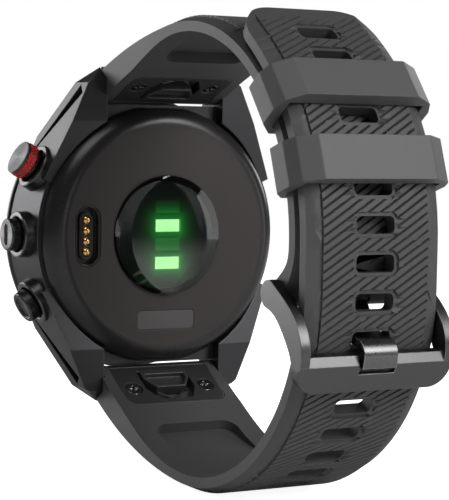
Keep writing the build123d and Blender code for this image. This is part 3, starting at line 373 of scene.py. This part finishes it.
def surface_grain():
    """Mottled tone, uneven gloss and a fine tooth, from one size of grain."""
    group, given, result = node_group(
        "surface_grain",
        [("Vector", "NodeSocketVector", None), ("Colour", "NodeSocketColor", (0.1, 0.1, 0.1, 1)),
         ("Grain Size", "NodeSocketFloat", 0.0002), ("Tone", "NodeSocketFloat", 0.1),
         ("Gloss", "NodeSocketFloat", 0.5), ("Gloss Spread", "NodeSocketFloat", 0.1)],
        [("Colour", "NodeSocketColor"), ("Roughness", "NodeSocketFloat"), ("Height", "NodeSocketFloat")])
    fine_scale = math_node(group, "DIVIDE", 1.0, given.outputs["Grain Size"])
    fine = noise(group, given.outputs["Vector"], fine_scale, 2.0)
    broad = noise(group, given.outputs["Vector"], 140.0, 4.0)
    swing = math_node(group, "SUBTRACT", math_node(group, "ADD", math_node(group, "MULTIPLY", fine, 0.5),
                                                   math_node(group, "MULTIPLY", broad, 0.5)), 0.5)
    tone = math_node(group, "ADD", math_node(group, "MULTIPLY", swing, given.outputs["Tone"]), 1.0)
    grey = group.nodes.new("ShaderNodeCombineXYZ")
    for socket in grey.inputs:
        group.links.new(tone, socket)
    colour = mix_colour(group, 1.0, given.outputs["Colour"], grey.outputs[0], "MULTIPLY")
    rough = math_node(group, "ADD", given.outputs["Gloss"],
                      math_node(group, "MULTIPLY", swing, given.outputs["Gloss Spread"]), clamp=True)
    group.links.new(colour, result.inputs["Colour"])
    group.links.new(rough, result.inputs["Roughness"])
    group.links.new(fine, result.inputs["Height"])
    return group


def painted_edge_light():
    """Marks where a surface turns sharply, as a patchy mask for a painted edge highlight, and gives the
    normal of the slightly rounded edge.
    """
    group, given, result = node_group(
        "painted_edge_light", [("Strength", "NodeSocketFloat", 1.0), ("Vector", "NodeSocketVector", None)],
        [("Painted Edge", "NodeSocketFloat"), ("Normal", "NodeSocketVector")])
    rounded = group.nodes.new("ShaderNodeBevel")
    rounded.samples = 4
    rounded.inputs["Radius"].default_value = 0.22 * MM
    surface = group.nodes.new("ShaderNodeNewGeometry")
    turn = group.nodes.new("ShaderNodeVectorMath")
    turn.operation = "DOT_PRODUCT"
    group.links.new(rounded.outputs["Normal"], turn.inputs[0])
    group.links.new(surface.outputs["Normal"], turn.inputs[1])
    sharp = math_node(group, "SUBTRACT", 1.0, turn.outputs["Value"])
    patchy = noise(group, given.outputs["Vector"], 900.0, 3.0)
    # patchy mask of the painted edge highlight
    painted_edge = math_node(group, "MULTIPLY", math_node(group, "MULTIPLY", sharp, 4.0),
                     math_node(group, "ADD", patchy, 0.2))
    painted_edge = math_node(group, "MULTIPLY", painted_edge, given.outputs["Strength"], clamp=True)
    group.links.new(painted_edge, result.inputs["Painted Edge"])
    group.links.new(rounded.outputs["Normal"], result.inputs["Normal"])
    return group


def brushed_lines():
    """Long fine scratches, running along the vector's Y."""
    group, given, result = node_group(
        "brushed_lines", [("Vector", "NodeSocketVector", None), ("Fineness", "NodeSocketFloat", 9000.0)],
        [("Height", "NodeSocketFloat"), ("Tone", "NodeSocketFloat")])
    stretched = group.nodes.new("ShaderNodeVectorMath")
    stretched.operation = "MULTIPLY"
    stretched.inputs[1].default_value = (1.0, 0.02, 1.0)
    group.links.new(given.outputs["Vector"], stretched.inputs[0])
    lines = noise(group, stretched.outputs[0], given.outputs["Fineness"], 4.0, 0.6)
    group.links.new(lines, result.inputs["Height"])
    tone = math_node(group, "ADD", math_node(group, "MULTIPLY", lines, 0.36), 0.82)
    group.links.new(tone, result.inputs["Tone"])
    return group


GRAIN, PAINTED_EDGES, BRUSHED = surface_grain(), painted_edge_light(), brushed_lines()


class Finish:
    """One material: a Principled shader with Object coordinates ready for its pattern."""

    def __init__(self, name, **plain):
        self.material = bpy.data.materials.new(name)
        self.material.use_nodes = True
        self.tree = self.material.node_tree
        self.shader = self.tree.nodes["Principled BSDF"]
        self.place = self.tree.nodes.new("ShaderNodeTexCoord").outputs["Object"]
        for label, value in plain.items():
            self.shader.inputs[label.replace("_", " ")].default_value = value

    def use(self, group, **given):
        node = self.tree.nodes.new("ShaderNodeGroup")
        node.node_tree = group
        for label, value in given.items():
            socket = node.inputs[label.replace("_", " ")]
            if isinstance(value, (int, float)):
                socket.default_value = value
            elif isinstance(value, tuple):
                socket.default_value = (*value, 1)[:4]
            else:
                self.tree.links.new(value, socket)
        return node

    def feed(self, label, source):
        self.tree.links.new(source, self.shader.inputs[label])

    def bump(self, height, distance, normal=None, strength=1.0):
        node = self.tree.nodes.new("ShaderNodeBump")
        node.inputs["Distance"].default_value = distance * MM
        node.inputs["Strength"].default_value = strength
        self.tree.links.new(height, node.inputs["Height"])
        if normal is not None:
            self.tree.links.new(normal, node.inputs["Normal"])
        self.feed("Normal", node.outputs["Normal"])


def coated(name, colour, gloss, grain=0.15, tone=0.12, spread=0.12, tooth=0.006, painted_edge=None, painted_edge_strength=0.6,
           rounded=True, **plain):
    """A moulded, painted or coated finish, with its sharp edges painted a second colour: a painted edge
    highlight where that colour is lighter.
    """
    made = Finish(name, **plain)
    grained = made.use(GRAIN, Vector=made.place, Colour=colour,
                       Grain_Size=grain * MM, Tone=tone, Gloss=gloss, Gloss_Spread=spread)
    shade, normal = grained.outputs["Colour"], None
    if rounded:
        edge = made.use(PAINTED_EDGES, Strength=painted_edge_strength, Vector=made.place)
        normal = edge.outputs["Normal"]
        # the sharp edges are painted the second colour, a painted highlight where it is lighter
        if painted_edge:
            shade = mix_colour(made.tree, edge.outputs["Painted Edge"], shade, painted_edge)
    made.feed("Base Color", shade)
    made.feed("Roughness", grained.outputs["Roughness"])
    made.bump(grained.outputs["Height"], tooth, normal)
    return made


def brushed(name, colour, gloss, turn=(0, 0, 0), painted_edge=(0.5, 0.5, 0.5), **plain):
    """Metal brushed along one direction."""
    made = Finish(name, Metallic=1.0, **plain)
    mapping = made.tree.nodes.new("ShaderNodeMapping")
    mapping.inputs["Rotation"].default_value = turn
    made.tree.links.new(made.place, mapping.inputs["Vector"])
    lines = made.use(BRUSHED, Vector=mapping.outputs["Vector"])
    grained = made.use(GRAIN, Vector=made.place, Colour=colour,
                       Grain_Size=0.2 * MM, Tone=0.1, Gloss=gloss, Gloss_Spread=0.15)
    edge = made.use(PAINTED_EDGES, Strength=0.8, Vector=made.place)
    tone = made.tree.nodes.new("ShaderNodeCombineXYZ")
    for socket in tone.inputs:
        made.tree.links.new(lines.outputs["Tone"], socket)
    shade = mix_colour(made.tree, 1.0, grained.outputs["Colour"], tone.outputs[0], "MULTIPLY")
    # the sharp edges are painted a lighter colour, a painted highlight
    made.feed("Base Color", mix_colour(made.tree, edge.outputs["Painted Edge"], shade, painted_edge))
    made.feed("Roughness", grained.outputs["Roughness"])
    made.bump(lines.outputs["Height"], 0.004, edge.outputs["Normal"])
    return made


# ------------------------------------------------------------ finishes
def painted_glow_falloff(made):
    """The falloff of a painted green glow: how near a point is to the nearest lit lamp, 1 on it and falling
    to 0 a few millimetres away.
    """
    parts = made.tree.nodes.new("ShaderNodeSeparateXYZ")
    made.tree.links.new(made.place, parts.inputs[0])
    across = math_node(made.tree, "SUBTRACT", parts.outputs["X"], CHIP_X * MM)
    dx = math_node(made.tree, "SUBTRACT", math_node(made.tree, "ABSOLUTE", across), 2.1 * MM)
    dx = math_node(made.tree, "MAXIMUM", dx, 0.0)
    painted_glow = None
    for row in LAMP_ROWS:
        along = math_node(made.tree, "SUBTRACT", parts.outputs["Z"], row * MM)
        dz = math_node(made.tree, "SUBTRACT", math_node(made.tree, "ABSOLUTE", along), 0.9 * MM)
        dz = math_node(made.tree, "MAXIMUM", dz, 0.0)
        squared = math_node(made.tree, "ADD", math_node(made.tree, "POWER", dx, 2.0),
                            math_node(made.tree, "POWER", dz, 2.0))
        away = math_node(made.tree, "DIVIDE", math_node(made.tree, "SQRT", squared), 1.15 * MM)
        here = math_node(made.tree, "EXPONENT", math_node(made.tree, "MULTIPLY", away, -1.0))
        painted_glow = here if painted_glow is None else math_node(made.tree, "ADD", painted_glow, here)
    return math_node(made.tree, "POWER", painted_glow, 1.25)


def black_with_painted_glow(name, colour, gloss, strength):
    """Black resin round the lamps, with a painted green glow a little way round them."""
    made = coated(name, colour, gloss, tone=0.04, spread=0.03, tooth=0.0005, rounded=False)
    painted_glow = painted_glow_falloff(made)
    # painted glow: green emission on the mask and the photodiodes, which are no lamps
    made.feed("Emission Color", mix_colour(made.tree, painted_glow, (0, 0, 0), (0.03, 1.0, 0.10)))
    made.shader.inputs["Emission Strength"].default_value = strength
    return made.material


def lamp_finish():
    made = Finish("lamp_green", Roughness=0.4)
    spread = noise(made.tree, made.place, 500.0)
    made.feed("Base Color", mix_colour(made.tree, spread, (0.6, 1.0, 0.6), (0.5, 0.95, 0.5)))
    made.feed("Emission Color", mix_colour(made.tree, spread, (0.30, 1.0, 0.26), (0.55, 1.0, 0.46)))
    made.shader.inputs["Emission Strength"].default_value = 2.6
    return made.material


def cover_finish():
    """Matte in the middle, with a glossier turned flank round it."""
    made = Finish("cover_graphite", Metallic=0.55, Specular_IOR_Level=0.5)
    parts = made.tree.nodes.new("ShaderNodeSeparateXYZ")
    made.tree.links.new(made.place, parts.inputs[0])
    squared = [math_node(made.tree, "POWER", parts.outputs[axis], 2.0) for axis in "XZ"]
    radius = math_node(made.tree, "SQRT", math_node(made.tree, "ADD", *squared))
    past_flat = math_node(made.tree, "SUBTRACT", radius, COVER_FLAT_R * MM)
    flank = math_node(made.tree, "MULTIPLY", past_flat, 1200.0, clamp=True)
    middle = made.use(GRAIN, Vector=made.place, Colour=(0.052, 0.046, 0.045),
                      Grain_Size=0.12 * MM, Tone=0.16, Gloss=0.50, Gloss_Spread=0.12)
    edge = made.use(PAINTED_EDGES, Strength=0.5, Vector=made.place)
    shade = mix_colour(made.tree, flank, middle.outputs["Colour"], (0.045, 0.043, 0.044))
    # the sharp edges are painted a lighter grey, a painted highlight
    made.feed("Base Color", mix_colour(made.tree, edge.outputs["Painted Edge"], shade, (0.16, 0.16, 0.16)))
    smooth = math_node(made.tree, "MULTIPLY", flank, -0.22)
    made.feed("Roughness", math_node(made.tree, "ADD", middle.outputs["Roughness"], smooth))
    made.bump(middle.outputs["Height"], 0.004, edge.outputs["Normal"])
    return made.material


def spun_finish(name, angle, colour, gloss):
    """Metal turned on a lathe: fine rings about the button's own axis."""
    made = Finish(name, Metallic=1.0, Anisotropic=0.85)
    ax, az = polar(1.0, angle)
    axis = (ax, 0.0, az)
    away = made.tree.nodes.new("ShaderNodeVectorMath")
    away.operation = "SUBTRACT"
    made.tree.links.new(made.place, away.inputs[0])
    away.inputs[1].default_value = (0.0, BUTTON_Y * MM, 0.0)
    around = made.tree.nodes.new("ShaderNodeVectorMath")
    around.operation = "CROSS_PRODUCT"
    around.inputs[0].default_value = axis
    made.tree.links.new(away.outputs[0], around.inputs[1])
    made.tree.links.new(around.outputs[0], made.shader.inputs["Tangent"])
    size = made.tree.nodes.new("ShaderNodeVectorMath")
    size.operation = "LENGTH"
    made.tree.links.new(around.outputs[0], size.inputs[0])
    rings = math_node(made.tree, "SINE", math_node(made.tree, "MULTIPLY", size.outputs["Value"], 42000.0))
    grained = made.use(GRAIN, Vector=made.place, Colour=colour,
                       Grain_Size=0.15 * MM, Tone=0.12, Gloss=gloss, Gloss_Spread=0.1)
    edge = made.use(PAINTED_EDGES, Strength=0.9, Vector=made.place)
    # the sharp edges are painted a light grey, a painted highlight
    shade = mix_colour(made.tree, edge.outputs["Painted Edge"], grained.outputs["Colour"], (0.55, 0.55, 0.55))
    made.feed("Base Color", shade)
    made.feed("Roughness", grained.outputs["Roughness"])
    made.bump(rings, 0.002, edge.outputs["Normal"])
    return made.material


def glass_finish(name, colour, gloss):
    made = Finish(name, Transmission_Weight=1.0, IOR=1.5)
    grained = made.use(GRAIN, Vector=made.place, Colour=colour,
                       Grain_Size=0.5 * MM, Tone=0.02, Gloss=gloss, Gloss_Spread=0.02)
    made.feed("Base Color", grained.outputs["Colour"])
    made.feed("Roughness", grained.outputs["Roughness"])
    return made.material


BLACK_METAL = dict(Metallic=0.75)
# painted_edge is the colour painted on sharp edges: a painted highlight where lighter, and on plate_grey a
# darker edge
FINISH = {
    "case_black": coated("case_black", (0.060, 0.060, 0.063), 0.36, painted_edge=(0.35, 0.35, 0.36), painted_edge_strength=0.5,
                         **BLACK_METAL).material,
    "bezel_black": coated("bezel_black", (0.048, 0.048, 0.050), 0.34, painted_edge=(0.35, 0.35, 0.36), painted_edge_strength=0.5,
                          **BLACK_METAL).material,
    "cover_graphite": cover_finish(),
    "front_glass": glass_finish("front_glass", (0.9, 0.9, 0.92), 0.02),
    "display_black": coated("display_black", (0.01, 0.01, 0.012), 0.12, rounded=False).material,
    "lens_glass": glass_finish("lens_glass", (0.42, 0.43, 0.43), 0.03),
    # lens_mask and diode_dark glow green near the lamps: painted glow
    "lens_mask": black_with_painted_glow("lens_mask", (0.012, 0.013, 0.013), 0.14, 0.55),
    "black_plastic": coated("black_plastic", (0.02, 0.02, 0.021), 0.45, rounded=False).material,
    "port_black": coated("port_black", (0.012, 0.012, 0.012), 0.22, painted_edge=(0.2, 0.2, 0.2), painted_edge_strength=0.4).material,
    "gold": coated("gold", (0.95, 0.60, 0.22), 0.16, tone=0.1, rounded=False, Metallic=1.0).material,
    "lamp_green": lamp_finish(),
    "diode_dark": black_with_painted_glow("diode_dark", (0.01, 0.05, 0.02), 0.2, 1.3),
    "board_green": coated("board_green", (0.01, 0.09, 0.03), 0.4, rounded=False).material,
    "seal_black": coated("seal_black", (0.015, 0.015, 0.015), 0.6, rounded=False).material,
    "plate_grey": coated("plate_grey", (0.105, 0.098, 0.10), 0.42, painted_edge=(0.03, 0.03, 0.03), painted_edge_strength=0.9,
                         Metallic=0.6).material,
    "frame_grey": coated("frame_grey", (0.06, 0.06, 0.065), 0.55, rounded=False).material,
    "foil_silver": coated("foil_silver", (0.5, 0.5, 0.52), 0.35, rounded=False, Metallic=1.0).material,
    "motor_steel": coated("motor_steel", (0.55, 0.55, 0.55), 0.25, rounded=False, Metallic=1.0).material,
    "antenna_copper": coated("antenna_copper", (0.65, 0.33, 0.2), 0.3, rounded=False, Metallic=1.0).material,
    "pin_steel": brushed("pin_steel", (0.35, 0.35, 0.36), 0.28).material,
    "collar_dark": coated("collar_dark", (0.085, 0.085, 0.09), 0.26, painted_edge=(0.75, 0.75, 0.76), painted_edge_strength=1.0,
                          Metallic=0.9).material,
    "crown_red": coated("crown_red", (0.62, 0.012, 0.014), 0.24, painted_edge=(0.95, 0.25, 0.22), painted_edge_strength=0.6,
                        Metallic=0.85).material,
    "strap_rubber": coated("strap_rubber", (0.066, 0.066, 0.067), 0.55, grain=0.09, tone=0.1,
                           tooth=0.006, rounded=False).material,
    "keeper_rubber": coated("keeper_rubber", (0.094, 0.094, 0.095), 0.52, grain=0.09, tone=0.08,
                            tooth=0.006, painted_edge=(0.17, 0.17, 0.17), painted_edge_strength=0.4).material,
    "link_black": coated("link_black", (0.03, 0.03, 0.031), 0.4, painted_edge=(0.16, 0.16, 0.16), painted_edge_strength=0.6).material,
    "latch_black": coated("latch_black", (0.034, 0.034, 0.035), 0.36, painted_edge=(0.2, 0.2, 0.2),
                          painted_edge_strength=0.7).material,
    "screw_black": coated("screw_black", (0.06, 0.06, 0.06), 0.28, painted_edge=(0.4, 0.4, 0.4), painted_edge_strength=0.8,
                          Metallic=0.9).material,
    "insert_brass": coated("insert_brass", (0.7, 0.5, 0.2), 0.3, rounded=False, Metallic=1.0).material,
    "buckle_steel": brushed("buckle_steel", (0.118, 0.116, 0.118), 0.34, turn=(math.radians(90), 0, 0),
                            painted_edge=(0.45, 0.45, 0.45)).material,
    "tongue_steel": brushed("tongue_steel", (0.17, 0.168, 0.168), 0.28, painted_edge=(0.85, 0.85, 0.85)).material,
}
for place in ("middle", "lower"):
    FINISH["spun_" + place] = spun_finish("spun_" + place, BUTTON_ANGLES[place], (0.07, 0.07, 0.072), 0.28)
FINISH["spun_disc"] = spun_finish("spun_disc", BUTTON_ANGLES["upper"], (0.10, 0.10, 0.103), 0.36)


# ------------------------------------------------------------ carried-over parts
OWN_FINISH = {
    "sensor_lens": "lens_glass", "sensor_mask": "lens_mask", "photodiodes": "diode_dark",
    "upper_button": "spun_disc", "middle_button": "spun_middle", "lower_button": "spun_lower"}
for entry in frame["record"]["subparts"]:
    made = FINISH[OWN_FINISH.get(entry["node"], entry["material_slot"])]
    shown = NODES[entry["node"]].data
    shown.materials.clear()
    shown.materials.append(made)

# ------------------------------------------------------------ parts with broken edges
for node, body, slot, width in (
        ("bezel", "watch", "bezel_black", 0.2),
        ("upper_end_link", "watch", "link_black", 0.12),
        ("lower_end_link", "watch", "link_black", 0.12),
        ("upper_latch", "upper_latch", "latch_black", 0.15),
        ("lower_latch", "lower_latch", "latch_black", 0.15)):
    softened(node, body, FINISH[slot], width)

# ------------------------------------------------------------ the knurled ring of the upper button
def knurled_ring():
    """A ring whose rim is cut with two crossing sets of grooves, leaving rows of small pyramids."""
    lo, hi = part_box("crown_ring")
    angle = math.radians(BUTTON_ANGLES["upper"])
    along = Vector((math.cos(angle), 0, math.sin(angle)))
    reach = [(v.co - Vector((0, BUTTON_Y * MM, 0))).dot(along) for v in NODES["crown_ring"].data.vertices]
    near, far = min(reach), max(reach)
    flat_r, outer_r, inner_r = RING_R - KNURL_DEPTH, RING_R, RING_BORE_R
    bm = bmesh.new()
    bmesh.ops.create_cone(bm, cap_ends=False, segments=KNURL_TEETH, radius1=flat_r * MM, radius2=flat_r * MM,
                          depth=far - near)
    upright = [e for e in bm.edges if abs(e.verts[0].co.z - e.verts[1].co.z) > 1e-6]
    bmesh.ops.subdivide_edges(bm, edges=upright,
                              cuts=KNURL_ROWS - 1, use_grid_fill=True)
    old = bm.edges[:]
    bmesh.ops.poke(bm, faces=bm.faces[:])
    bmesh.ops.dissolve_edges(bm, edges=[e for e in old if e.is_valid and not e.is_boundary], use_verts=False)
    for v in bm.verts:
        flat = Vector((v.co.x, v.co.y, 0))
        v.co += flat.normalized() * (flat_r * MM - flat.length)
    made = bmesh.ops.poke(bm, faces=[f for f in bm.faces if len(f.verts) == 4])
    for v in made["verts"]:
        flat = Vector((v.co.x, v.co.y, 0))
        v.co += flat.normalized() * (outer_r * MM - flat.length)
    rims = [e for e in bm.edges if e.is_boundary]
    for sign in (-1, 1):
        rim = [e for e in rims if e.is_valid and sign * e.verts[0].co.z > 0 and sign * e.verts[1].co.z > 0]
        grown = bmesh.ops.extrude_edge_only(bm, edges=rim)["geom"]
        for v in [g for g in grown if isinstance(g, bmesh.types.BMVert)]:
            flat = Vector((v.co.x, v.co.y, 0))
            v.co += flat.normalized() * (inner_r * MM - flat.length)
    inner = [e for e in bm.edges if e.is_boundary]
    bmesh.ops.bridge_loops(bm, edges=inner)
    bmesh.ops.recalc_face_normals(bm, faces=bm.faces)
    turn = Vector((0, 0, 1)).rotation_difference(along).to_matrix().to_4x4()
    centre = Vector((0, BUTTON_Y * MM, 0)) + along * (near + far) / 2
    bmesh.ops.transform(bm, matrix=Matrix.Translation(centre) @ turn, verts=bm.verts)
    return piece_from(bm, "knurled_ring", "upper_button", FINISH["crown_red"], ["crown_ring"],
                      crease=20.0)


knurled_ring()

# ------------------------------------------------------------ straps
SLOTS = [TONGUE_SLOT_S + k * SLOT_PITCH for k in range(-SLOTS_BELOW, SLOTS_ABOVE + 1)]
ribbed_strap("lower_strap", LOWER, 1, SLOTS, (RIBS_START, LOWER.length - 3.0), FINISH["strap_rubber"])
ribbed_strap("upper_strap", UPPER, -1, [], (RIBS_START, UPPER.length - 6.0), FINISH["strap_rubber"])

# ------------------------------------------------------------ studio and camera
AZIMUTH, ELEVATION, ROLL = 149.4, 3.55, 0.98
DISTANCE, AIM_RIGHT, AIM_UP, LENS = 332.47, 9.82, -2.54, 140.27
FLOOR_Z = -38.5


def camera_axes():
    a, e, r = (math.radians(x) for x in (AZIMUTH, ELEVATION, ROLL))
    back = Vector((math.sin(a) * math.cos(e), -math.cos(a) * math.cos(e), math.sin(e)))
    right = (-back).cross(Vector((0, 0, 1))).normalized()
    up = right.cross(-back)
    return right * math.cos(r) + up * math.sin(r), up * math.cos(r) - right * math.sin(r), back


RIGHT, UP, BACK = camera_axes()
lens = bpy.data.cameras.new("camera")
lens.lens, lens.sensor_width, lens.sensor_fit = LENS, 36.0, "AUTO"
lens.clip_start, lens.clip_end = 0.01, 20.0
camera = bpy.data.objects.new("camera", lens)
bpy.context.scene.collection.objects.link(camera)
turned = Matrix((RIGHT, UP, BACK)).transposed().to_4x4()
spot = (BACK * DISTANCE + RIGHT * AIM_RIGHT + UP * AIM_UP - Vector((0, 1, 0))) * MM
camera.matrix_world = Matrix.Translation(spot) @ turned
bpy.context.scene.camera = camera


def softbox(name, right, up, back, size, power, aim=(0, 20, 0)):
    """A rectangular light placed by the camera's own directions, in millimetres, facing the watch."""
    light = bpy.data.lights.new(name, "AREA")
    light.shape, light.size, light.size_y, light.energy = "RECTANGLE", size[0] * MM, size[1] * MM, power
    lamp = bpy.data.objects.new(name, light)
    bpy.context.scene.collection.objects.link(lamp)
    place = (RIGHT * right + UP * up + BACK * back) * MM
    lamp.location = place
    lamp.rotation_euler = (place - Vector(aim) * MM).to_track_quat("Z", "Y").to_euler()


softbox("key_right", 420, 260, 300, (260, 300), 1.9)
softbox("case_side", -430, 90, -240, (260, 420), 1.5)
softbox("rim_right_behind", 300, 190, -360, (150, 260), 0.45)
softbox("top_front", -70, 420, 290, (300, 200), 0.5)
softbox("lens_left_card", 255, -20, 440, (60, 240), 0.07)
softbox("lens_right_card", 470, -10, -10, (90, 240), 0.14)
softbox("low_right_card", 380, -290, 120, (240, 160), 0.16)

world = bpy.data.worlds.new("studio")
bpy.context.scene.world = world
world.use_nodes = True
tree = world.node_tree
background = tree.nodes["Background"]
seen = tree.nodes.new("ShaderNodeLightPath")
strength = math_node(tree, "ADD", math_node(tree, "MULTIPLY", seen.outputs["Is Camera Ray"], 0.94), 0.06)
tree.links.new(strength, background.inputs["Strength"])
background.inputs["Color"].default_value = (1, 1, 1, 1)
bpy.context.scene.view_settings.view_transform = "Standard"

sheet = bmesh.new()
bmesh.ops.create_grid(sheet, x_segments=8, y_segments=8, size=1.5)
bmesh.ops.translate(sheet, verts=sheet.verts, vec=(0, 0, FLOOR_Z * MM))
floor_mesh = bpy.data.meshes.new("floor")
sheet.to_mesh(floor_mesh)
sheet.free()
floor = bpy.data.objects.new("floor", floor_mesh)
bpy.context.scene.collection.objects.link(floor)
white = coated("floor_white", (0.9, 0.9, 0.9), 0.7, tone=0.02, rounded=False)
direct = white.tree.nodes.new("ShaderNodeLightPath").outputs["Is Camera Ray"]
white.feed("Emission Strength", math_node(white.tree, "MULTIPLY", direct, 0.93))
white.shader.inputs["Emission Color"].default_value = (1, 1, 1, 1)
floor_mesh.materials.append(white.material)
floor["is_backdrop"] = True

def plain(box):
    return [list(map(float, corner)) for corner in box]
{"cad": plain(CAD_BOX), "visual": plain(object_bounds())}
